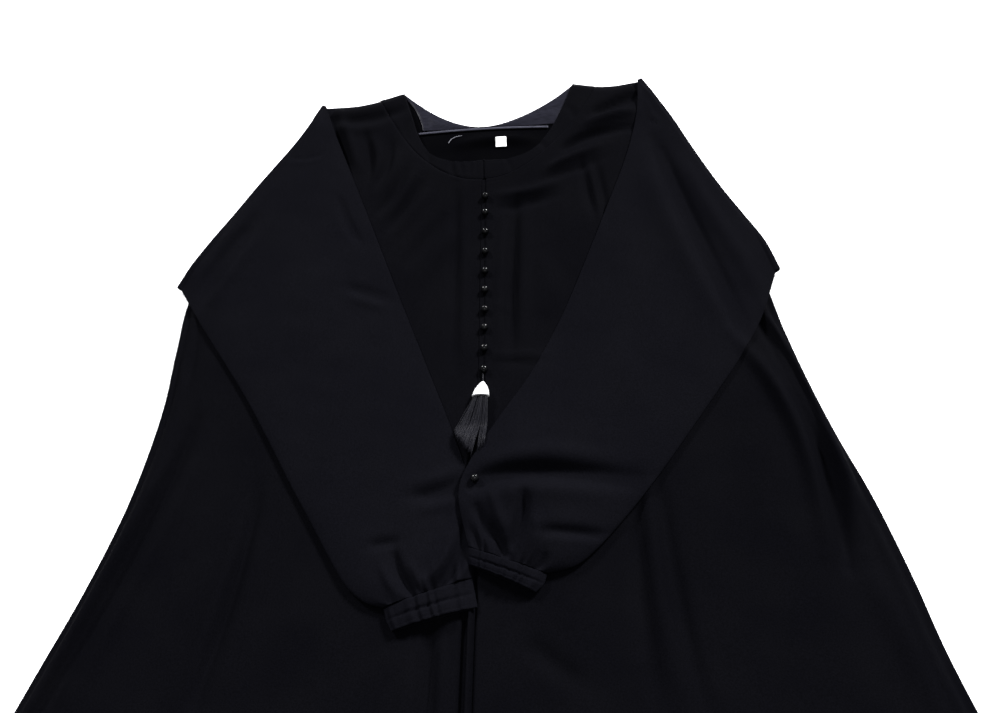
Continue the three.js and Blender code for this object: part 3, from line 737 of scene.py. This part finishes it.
# Painted sheen: the fringe's dark grey stands for the shine on black silky threads.
FLOSS_PAINTED_SHEEN = silk_thread("black_viscose_floss_painted_sheen", "#0d0d11", "#19191e")
SEWING = silk_thread("black_sewing_thread", "#0a0a0d", "#15151a")
LIGHT_THREAD = silk_thread("light_grey_thread", "#63636a", "#7c7c84")
TABLE = white_table()


def finish_piece(piece, material, slot, *nodes):
    """Gives a piece its material and its body, and hides the solids that it stands for; slot is not used."""
    piece.data.materials.append(material)
    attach(piece, "root")
    if nodes:
        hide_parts(*nodes)
    return piece


# ---- body panels ----

ROWS_ABOVE, ROWS_BELOW = 150, 80  # rows of a panel above and below its middle height


def panel_rows():
    """Shares of a side edge's length at a panel's rows: close together in the upper half."""
    upper = np.linspace(0, 0.5, ROWS_ABOVE, endpoint=False)
    return np.concatenate([upper, np.linspace(0.5, 1, ROWS_BELOW)])


def panel_grid(top_x, top_y, first, last):
    """Plan of a panel between two side edges, under a top edge. Each row runs straight between the edges,
    the top edge's shape fades out over the upper 330 mm, and the hem's curve comes in over the lowest
    200 mm."""
    share = (top_x - first[0, 0]) / (last[0, 0] - first[0, 0])
    x = mix(first[:, :1], last[:, :1], share)
    straight = mix(first[:, 1:], last[:, 1:], share)
    depth = mix(first[0, 1], last[0, 1], share) - straight
    keep = np.clip(1 - depth / 330, 0, 1) ** 2
    curve = (top_y - mix(first[0, 1], last[0, 1], share)) * keep
    hem = HEM_RISE * ((x / SIDE_ROWS[-1].left) ** 2 - 1) * smooth(1 - (straight - SIDE_HEM_Y) / 200)
    return x, straight + curve + hem


def towards_centre(half, count):
    """From half to 0 in count steps that are close together at first, where the neck curve is steep."""
    return half * (1 - np.linspace(0, 1, count + 1) ** 1.5)


def rolled_edge(z, distance, low, radius):
    """Brings a sheet down to low at an edge, as a bell of the distance to it."""
    return mix(z, low, bell(distance, radius))


def back_panel():
    """The back: its face level with the seams, and its underside flat where it rests."""
    rows = panel_rows()
    left, right = side_edge(-1, rows), side_edge(1, rows)
    half = towards_centre(NECK_HALF, 40)
    neck = np.concatenate([-half, half[-2::-1]])
    outer_left = np.linspace(left[0, 0], -NECK_HALF, 24, endpoint=False)
    outer_right = np.linspace(right[0, 0], NECK_HALF, 24, endpoint=False)[::-1]
    top_x = np.concatenate([outer_left, neck, outer_right])
    top_y = np.where(np.abs(top_x) <= NECK_HALF, back_neck_y(top_x), shoulder_y(top_x))
    x, y = panel_grid(top_x, top_y, left, right)
    return cloth_sheet("back", pulled_right(x, y), y, back_height(x, y))


def front_panel(name, sign):
    """One front, from its side to the centre line: creased, and rolled down at its seams."""
    rows = panel_rows()
    side = side_edge(sign, rows)
    # Columns lie 0.5 mm apart beside the centre line too, because the seam there is narrow.
    seam_x = sign * np.union1d(towards_centre(BAND_HALF, 70), np.arange(0, 9, 0.5))[::-1]
    seam_y = np.minimum(band_seam_y(seam_x), shoulder_y(seam_x)) - 0.15
    shoulder_x = np.linspace(side[0, 0], sign * BAND_HALF, 44, endpoint=False)
    top_x = np.concatenate([shoulder_x, seam_x])
    top_y = np.concatenate([shoulder_y(shoulder_x), seam_y])
    centre = np.stack([centre_x(side[:, 1]) + sign * CENTRE_GAP, side[:, 1]], 1)
    top_x[-1] = centre[0, 0]
    x, y = panel_grid(top_x, top_y, side, centre)
    z = front_height(x, y)
    from_side = np.abs(x - side[:, :1])
    below_arm = smooth((side[:, 1:] - 470) / -60)
    z = mix(z, rolled_edge(z, from_side, SEAM_LEVEL, 4), below_arm)
    z = z + below_arm * (edge_line(from_side, 6, 2.2, -2.4) + edge_line(from_side, 14, 5, 1.8))
    from_centre = np.abs(x - centre_x(y))
    z = rolled_edge(z, from_centre, z - 1.5 - 1.8 * smooth((SEAM_SHOWS_Y - y) / 40), 1.6)
    from_shoulder = np.where(np.abs(x) > NECK_HALF + 1, shoulder_y(x) - y, NO_EDGE)
    from_band = np.where(np.abs(x) > BAND_HALF, NO_EDGE, band_seam_y(x) - y)
    seam_depth = mix(0.7, 0.15, smooth((x + 30) / 60))
    z = rolled_edge(z, np.maximum(from_band, 0), z - seam_depth, 2.4)
    z = z + edge_line(from_band, 5, 1.2, -0.15)
    z = rolled_edge(z, np.maximum(from_shoulder, 0), SEAM_LEVEL, 7)
    z = z + centre_seam(x, y) + hem_line(x, y)
    return cloth_sheet(name, pulled_right(x, y), y, z)


def edge_line(distance, offset, width, height):
    """A line of stitching's dent at an offset from an edge."""
    return height * bell(distance - offset, width)


def centre_seam(x, y):
    """Below the buttons the left front's seam allowance shows as a second line, 9.5 mm from the centre."""
    below = smooth((SEAM_SHOWS_Y - y) / 30)
    offset = x - centre_x(y)
    return below * (edge_line(offset, -9.5, 2.4, -5.2) + edge_line(offset, -4.5, 2.2, 2.6))


def hem_y(x):
    """The hem's edge: a parabola, lowest at the centre line."""
    return SIDE_HEM_Y + HEM_RISE * ((x / SIDE_ROWS[-1].left) ** 2 - 1)


def hem_line(x, y):
    """The hem is turned up and stitched: a step up below the stitching, and a dent along it."""
    above = y - hem_y(x)
    return 0.5 * smooth((HEM_STITCHED - above) / 2) + edge_line(above, HEM_STITCHED, 1.5, -0.5)


def band_height(x, y):
    """Top of the neck band: the front's height with the band's own small puckers."""
    return front_height(x, y) + creases(x, y, BAND_CREASES)


def neck_band(name, sign):
    """Half of the neck band, from the shoulder seam to the centre front: a straight blend between its seam
    and the neckline, rolled down at the seam and over at the neckline."""
    across = np.linspace(0, 1, 34)
    outer, inner = (towards_centre(half, BAND_COLUMNS) for half in (BAND_HALF, NECK_HALF))
    low_y, high_y = np.minimum(band_seam_y(outer), shoulder_y(outer)), front_neck_y(inner)
    x = sign * mix(outer[:, None], inner[:, None], across)
    y = mix(low_y[:, None], high_y[:, None], across)
    at_shoulder = smooth(1 - np.arange(len(outer))[:, None] / 6)
    y = mix(y, shoulder_y(x), at_shoulder * (np.abs(x) > BAND_END_X))
    x[-1] = centre_x(y[-1]) + sign * CENTRE_GAP
    z = band_height(x, y)
    from_seam, from_neck = across * BAND_WIDTH, (1 - across) * BAND_WIDTH
    from_centre = np.abs(x - centre_x(y))
    seam_depth = mix(0.6, 0.15, smooth((x + 30) / 60))
    z = z - seam_depth * bell(from_seam, 2.2) - 1.4 * bell(from_neck, 1.3)
    z = z + edge_line(from_neck, 4, 1.1, -0.2)
    z = z - 0.2 * bell(from_centre, 1.2)
    to_shoulder = np.where(np.abs(x) > BAND_END_X, np.maximum(shoulder_y(x) - y, 0), NO_EDGE)
    z = rolled_edge(z, to_shoulder, SEAM_LEVEL + 0.2, 6)
    return cloth_sheet(name, pulled_right(x, y), y, z)


# ---- sleeves and cuffs ----

AROUND = 190  # points round a sleeve
SLEEVE_HALF = 0.95  # half the height of a sleeve's pressed over-arm edge
UNDERARM_HALF = 1.7  # and of its rounder underarm edge, at the top
CUFF_END_HALF = 3.6  # and at the cuff


def ring_shares(count):
    """Round a flattened tube: share of the way from the over-arm edge to the underarm edge, half of one
    minus a cosine; and level, a squared-off sine, 1 on the front layer and -1 on the back layer."""
    angle = np.linspace(0, 2 * np.pi, count, endpoint=False)
    sine = np.sin(angle)
    return 0.5 - 0.5 * np.cos(angle), np.sign(sine) * np.abs(sine) ** 0.5


def lying_rings(rows, raised, crease_table, half):
    """Rings of a tube lying on the front, from rows of section numbers. The lower layer lies on the front,
    the upper one is a hollow's sine higher, with its creases, and never below the lower one."""
    share, level = ring_shares(AROUND)
    over_x, over_y, under_x, under_y, hollow, lift_over, lift_under = (rows[:, k, None] for k in range(7))
    x, y = mix(over_x, under_x, share), mix(over_y, under_y, share)
    lift = lift_over * (1 - share) ** 1.5 + lift_under * share
    base = sleeve_bed(x, y) + CLEAR + lift + raised
    upper = np.clip(-level, 0, 1)
    swell = hollow * np.sin(np.pi * share) ** 0.6
    own = creases(x, y, crease_table) + 0.35 * unevenness(x, y, 110, 11) + 0.15 * unevenness(x, y, 40, 12)
    puff = swell + own
    puff = np.where(puff > 0.15 * swell, puff, 0.15 * swell + 0.1 * (puff - 0.15 * swell))
    z = base + half * (1 - level) + upper * np.where(level < 0, np.maximum(puff, 0), 0)
    return np.stack([x, y, z], -1)


def gathers(t, share, length, seed):
    """Gathers into a cuff: seven waves across and eleven smaller ones, that fade away from the seam."""
    rng = np.random.default_rng(seed)
    sway = share + 0.03 * np.sin(2 * np.pi * (share * 2 + rng.uniform()))
    wave = np.sin(2 * np.pi * 7 * sway) + 0.6 * np.sin(2 * np.pi * 11 * sway + 1.3)
    return wave * np.exp(-((1 - t) * length / 22))


def sleeve(name, table, crease_table, dents, seed):
    """A sleeve: two level layers inside the fold, turning half round an axis at the fold, then settling on
    the front and running through its sections to the cuff. The fold dents towards the body by dents, mm at
    even steps from the shoulder to the underarm, and lies lower at its two ends."""
    over, under, inward = fold_line(table)
    share, level = ring_shares(AROUND)
    steps = np.linspace(0, len(dents) - 1, 60)
    dent = np.interp(share, steps / steps[-1], spline(np.array(dents, float)[:, None], steps)[:, 0])
    pressed = 0.5 * bell(share, 0.07) + 0.45 * bell(1 - share, 0.06)
    body_half = LAYER_TOP / 2
    rings = []
    for inset in np.linspace(SEAM_INSET, 3, 5):
        start, end = inside_fold(table, inset)
        moved = dent * (SEAM_INSET - inset) / (SEAM_INSET - 3)
        plan = mix(start, end, share[:, None]) + inward * moved[:, None]
        rings.append(np.column_stack([plan, body_half + body_half * level]))
    for angle in np.linspace(0, np.pi, 18):
        radius = FOLD_HEIGHT - body_half - body_half * level
        plan = mix(over, under, share[:, None]) + inward * (dent - radius * np.sin(angle))[:, None]
        z = (FOLD_HEIGHT - radius * np.cos(angle)) * (1 - pressed * np.sin(angle / 2) ** 2)
        rings.append(np.column_stack([plan, z]))
    last = len(table) - 1
    t = last * np.linspace(0, 1, 165)[1:]
    rows = spline(table, t)
    fresh = (1 - smooth(t / 1.15))[:, None]
    raised = fresh * (2 * FOLD_HEIGHT - 2 * body_half - LAYER_TOP - CLEAR - 2.2)
    round_edge = mix(UNDERARM_HALF, CUFF_END_HALF, t[:, None] / last)
    edge = mix(SLEEVE_HALF, round_edge, smooth((share - 0.55) / 0.45))
    half = mix(edge, body_half, fresh)
    lying = lying_rings(rows, raised, crease_table, half)
    lying[..., :2] += inward * (dent * bell(t[:, None], 0.8))[..., None]
    lying[..., 2] *= 1 - pressed * bell(t[:, None], 0.5)
    upper = np.clip(-level, 0, 1) * np.sin(np.pi * share) ** 0.5
    lying[..., 2] += 1.5 * gathers(t[:, None] / last, share, 600, seed) * upper
    return cloth_tube(name, np.concatenate([np.array(rings), lying]))


def cuff(name, table, seed):
    """A cuff: a flattened band, dented along its rows of stitching and a little pinched by its elastic."""
    share, level = ring_shares(AROUND)
    t = np.linspace(0, len(table) - 1, 26)
    rows = spline(table, t)
    rings = lying_rings(rows, 0, [], mix(SLEEVE_HALF, 2.8, share))
    depth = CUFF_DEPTH * (t / t[-1])[:, None]
    upper = np.clip(-level, 0, 1) * np.sin(np.pi * share) ** 0.4
    dents = edge_line(depth, 12.5, 1.6, -1.8) + edge_line(depth, 21, 1.0, -0.4)
    rolled = -0.9 * bell(depth, 1.5) - 0.9 * bell(CUFF_DEPTH - depth, 1.5)
    pinch = 0.8 * gathers(np.ones_like(depth), share, 1, seed)
    rings[..., 2] += (dents + rolled + pinch) * upper
    return cloth_tube(name, rings)


# ---- trims ----


def neck_facing():
    """The satin strip inside the back neck, from the neckline to a straight lower edge; it swells a little
    between its seams."""
    t = np.linspace(-1, 1, 120)[:, None]
    across = np.linspace(0, 1, 24)
    x = t * FACING_HALF + 0 * across
    low = np.maximum(FACING_LOW_Y, front_neck_y(x) - 7)
    high = back_neck_y(x) - 1.3
    y = mix(np.minimum(low, high - 0.8), high, across)
    z = CLOTH + 1.0 + 0.8 * np.sin(np.pi * across) + 0.35 * unevenness(x, y, 22, 21)
    return cloth_sheet("neck_facing", pulled_right(x, y), y, z, 0.6)


def neck_tape():
    """The tape under the facing: half a round across, along a shallow arc."""
    t = np.linspace(-1, 1, 90)[:, None]
    across = np.linspace(-1, 1, 14)
    x = t * TAPE_HALF + 0 * across
    y = TAPE_Y - 2.6 * t**2 + 1.6 * across
    z = CLOTH + 1.3 + 0.9 * np.sqrt(1 - 0.96 * across**2) + 0 * x
    return cloth_sheet("neck_tape", x, y, z, 0.6)


def size_label():
    """The label, bare: a nearly square piece of tape, crowned across and lifting at its lower end."""
    across, down = np.meshgrid(np.linspace(0, 1, 22), np.linspace(0, 1, 22))
    x, y = mix(*LABEL_X, across), mix(*LABEL_Y, down)
    z = back_height(x, y) + 0.9 + 0.5 * (1 - down) ** 2 + 0.25 * np.sin(np.pi * across)
    return cloth_sheet("neck_label", x, y, z, 0.5)


def ball_button(name, x, y, z):
    """A ball: a half circle turned about the vertical."""
    around = np.linspace(0, 2 * np.pi, 36, endpoint=False)
    down = np.linspace(0.02, np.pi - 0.02, 26)[:, None]
    radius = BALL_RADIUS * np.sin(down)
    height = BALL_RADIUS * np.cos(down)
    points = np.stack(
        [x + radius * np.cos(around), y + radius * np.sin(around), z + height + 0 * around], -1
    )
    faces = grid_faces(*points.shape[:2], closed=True)
    flat = points.reshape(-1, 3)
    made = add_mesh(name, flat, faces)
    close_ends(made.data)
    return made


def tassel_cap():
    """The bell: a profile of radii turned about an axis that lies along the garment, leaning a little, with
    a rounded top, a rolled rim and a shallow groove above it."""
    along = np.array([0, 0.3, 1.2, 2.0, 2.7, 4.5, 7, 9.5, 12, 14.5, 16.5, 17.6, 18])
    radius = np.array([7.2, 8.1, 8.5, 8.2, 7.9, 7.9, 7.2, 6.2, 4.9, 3.3, 1.9, 1.0, 0.3])
    fine = np.linspace(0, along[-1], 70)
    radius = np.interp(fine, along, radius)[:, None]
    around = np.linspace(0, 2 * np.pi, 48, endpoint=False)
    x = mix(1.6, 3.6, fine[:, None] / along[-1]) + radius * np.cos(around)
    y = 289.5 + fine[:, None] + 0 * around
    z = 12.2 - 2.2 * fine[:, None] / along[-1] + 0.72 * radius * np.sin(around)
    points = np.stack([x, y, z], -1)
    made = add_mesh("tassel_cone", points.reshape(-1, 3), grid_faces(*points.shape[:2], closed=True))
    close_ends(made.data)
    return made


def tassel_fringe(count=260):
    """The threads: each starts inside the bell and bends out to its end, in two bundles with a parting."""
    rng = np.random.default_rng(4)
    rank = (np.arange(count) + rng.uniform(-0.5, 0.5, count)) / count
    left = rank < 0.74
    spread = np.where(left, rank / 0.74, (rank - 0.74) / 0.26)
    end_x = np.where(left, mix(-23, -5.5, spread), mix(0, 6.5, spread)) + rng.normal(0, 0.5, count)
    end_y = np.where(left, mix(252, 228, spread**0.8), mix(231, 240, spread)) + rng.normal(0, 1.4, count)
    start_x = 1.8 + 6.3 * (2 * rank - 1)
    layer = rng.uniform(0, 1, count)
    t = np.linspace(0, 1, 16)[None]
    bow = rng.normal(0, 0.8, count)[:, None] * np.sin(np.pi * t)
    x = mix(start_x[:, None], end_x[:, None], t**1.25) + bow
    y = mix(291.0, end_y[:, None], t)
    high = 12 + 4.4 * (2 * layer[:, None] - 1) * np.sqrt(np.clip(1 - (2 * rank[:, None] - 1) ** 2, 0, 1))
    resting = sleeve_bed(x, y) + 1.0 + 3.2 * layer[:, None] + FRINGE_LIFT * smooth((262 - y) / 20)
    z = mix(high, resting, smooth(t * 1.2)) + 0.5 * bow
    radii = np.full(x.shape, 0.34)
    radii[:, -1] = 0.08
    return closed_tube("tassel_threads", np.stack([x, y, z], -1), radii, sides=5)


def tassel_cord():
    """The short twisted cord from the last button to the bell."""
    t = np.linspace(0, 1, 14)
    path = np.stack([3.4 + 0.2 * t, mix(323, 306, t), mix(8.0, 10.2, smooth(t))], 1)
    return closed_tube("tassel_cord", path[None], np.full((1, 14), 0.8), sides=8)


def inner_thread():
    """A short light thread loose inside the neck."""
    line = curve_through((-40, 626), (-35, 633), (-25, 637), 16)
    z = back_height(line[:, 0], line[:, 1]) + 0.7 + 0.8 * np.sin(np.linspace(0, np.pi, 16))
    return closed_tube("inner_thread", np.column_stack([line, z])[None], np.full((1, 16), 0.4), sides=8)


def stitches(name, line, height, length=2.4, pitch=3.4):
    """A row of stitches: short closed tubes along a line, each sunk at its ends, at a height worked out
    for each."""
    line = np.asarray(line, float)
    travelled = np.concatenate([[0], np.cumsum(np.linalg.norm(np.diff(line, axis=0), axis=1))])
    starts = np.arange(pitch, travelled[-1] - pitch, pitch)
    t = np.linspace(0, length, 5)
    at = starts[:, None] + t
    x, y = np.interp(at, travelled, line[:, 0]), np.interp(at, travelled, line[:, 1])
    z = height(x, y) + 0.12 - 0.25 * (2 * t / length - 1) ** 2
    radii = np.broadcast_to(0.2 * np.sqrt(1.02 - (2 * t / length - 1) ** 2), at.shape)
    return closed_tube(name, np.stack([x, y, z], -1), radii, sides=5)


# ---- camera, light and table ----


def camera():
    """The eye is 90 cm from its aim, 30 degrees off the vertical on the hem's side, turned and rolled a few
    degrees, with a lens that sees 29 degrees to each side."""
    tilt, turn, roll = math.radians(30), math.radians(7.82), math.radians(9.06)
    aim = Vector((0.0195, 0.340, 0))
    ahead = Vector((-math.sin(turn) * math.sin(tilt), math.cos(turn) * math.sin(tilt), -math.cos(tilt)))
    level = Vector((math.cos(turn), math.sin(turn), 0))
    down = ahead.cross(level)
    right = math.cos(roll) * level + math.sin(roll) * down
    below = math.cos(roll) * down - math.sin(roll) * level
    data = bpy.data.cameras.new("camera")
    data.sensor_width = 36
    data.lens = 32.4
    eye = bpy.data.objects.new("camera", data)
    axes = Matrix((right, -below, -ahead)).transposed().to_4x4()
    eye.matrix_world = Matrix.Translation(aim - ahead * 0.90) @ axes
    bpy.context.scene.collection.objects.link(eye)
    bpy.context.scene.camera = eye


def lamp(name, place, aim, size, watts):
    """A square soft light."""
    data = bpy.data.lights.new(name, "AREA")
    data.energy, data.size = watts, size
    made = bpy.data.objects.new(name, data)
    made.location = place
    made.rotation_euler = (Vector(aim) - Vector(place)).to_track_quat("-Z", "Y").to_euler()
    bpy.context.scene.collection.objects.link(made)


def window(name, place, strength):
    """A wide even light from far off in the direction of place, with soft-edged shadows."""
    data = bpy.data.lights.new(name, "SUN")
    data.energy, data.angle = strength, math.radians(12)
    made = bpy.data.objects.new(name, data)
    made.location = place
    made.rotation_euler = (-Vector(place)).to_track_quat("-Z", "Y").to_euler()
    bpy.context.scene.collection.objects.link(made)


def studio():
    """A white table, an even white sky, two soft lights beyond the shoulders and a weak one overhead."""
    corners = np.array([[-1, -1, TABLE_Z], [1, -1, TABLE_Z], [1, 1, TABLE_Z], [-1, 1, TABLE_Z]])
    table = add_mesh("table", corners * [TABLE_HALF, TABLE_HALF, 1], np.array([[0, 1, 2, 3]]))
    table.data.materials.append(TABLE)
    world = bpy.data.worlds.new("sky")
    world.use_nodes = True
    world.node_tree.nodes["Background"].inputs["Color"].default_value = (0.93, 0.96, 1.0, 1)
    world.node_tree.nodes["Background"].inputs["Strength"].default_value = 0.35
    bpy.context.scene.world = world
    window("key_left", (-1.6, 1.8, 1.5), 4.5)
    window("key_right", (1.6, 1.8, 1.5), 9.5)
    lamp("overhead", (0.1, -0.1, 1.1), (0.05, 0.15, 0), 0.4, 5)
    bpy.context.scene.view_settings.view_transform = "Standard"
    bpy.context.scene.view_settings.look = "None"


# ---- the garment ----


camera()
studio()

back = finish_piece(back_panel(), WRONG_SIDE_PAINTED_SHADE, "black_crepe", "back_panel")
front_left = finish_piece(front_panel("left_front", -1), CREPE, "black_crepe", "front_left")
front_right = finish_piece(front_panel("right_front", 1), CREPE, "black_crepe", "front_right")
band_left = finish_piece(neck_band("left_neck_band", -1), CREPE, "black_crepe", "neck_band_left")
band_right = finish_piece(neck_band("right_neck_band", 1), CREPE, "black_crepe", "neck_band_right")
made = sleeve("left_sleeve", LEFT_SLEEVE, LEFT_SLEEVE_CREASES, LEFT_DENTS, 31)
sleeve_left = finish_piece(made, SLEEVE_CREPE_PAINTED_LIGHTER, "black_crepe", "sleeve_left")
made = sleeve("right_sleeve", RIGHT_SLEEVE, RIGHT_SLEEVE_CREASES, RIGHT_DENTS, 37)
sleeve_right = finish_piece(made, SLEEVE_CREPE_PAINTED_LIGHTER, "black_crepe", "sleeve_right")
cuff_left = finish_piece(cuff("left_cuff", LEFT_CUFF, 41), SLEEVE_CREPE_PAINTED_LIGHTER, "black_crepe", "cuff_left")
cuff_right = finish_piece(cuff("right_cuff", RIGHT_CUFF, 43), SLEEVE_CREPE_PAINTED_LIGHTER, "black_crepe", "cuff_right")
facing = finish_piece(neck_facing(), SATIN_PAINTED_SHEEN, "grey_satin", "back_neck_facing")
tape = finish_piece(neck_tape(), TAPE_PAINTED_SHEEN, "grey_satin", "back_neck_tape")
label = finish_piece(size_label(), LABEL, "white_label", "size_label")
thread = finish_piece(inner_thread(), LIGHT_THREAD, "grey_silk")
for number, y in enumerate(BUTTON_ROWS_Y, 1):
    x = float(centre_x(y)) + 1.2
    top = float(front_height(np.array([x]), np.array([float(y)]))[0])
    made = ball_button(f"button_{number:02d}", x, y, top + BALL_RADIUS - 1.6)
    finish_piece(made, ACRYLIC, "gloss_black", f"ball_button_{number:02d}")
made = ball_button("button_11", *LOOSE_BALL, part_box("ball_button_11")[0].z / MM + BALL_RADIUS)
finish_piece(made, ACRYLIC, "gloss_black", "ball_button_11")
finish_piece(tassel_cap(), NICKEL, "silver_metal", "tassel_cap")
finish_piece(tassel_cord(), SEWING, "black_crepe")
finish_piece(tassel_fringe(), FLOSS_PAINTED_SHEEN, "grey_silk", "tassel_fringe")

hem_x = np.linspace(-600, 600, 200)
made = stitches("hem_stitches", np.column_stack([hem_x, hem_y(hem_x) + HEM_STITCHED]), front_height)
hem_stitches = finish_piece(made, SEWING, "black_crepe")
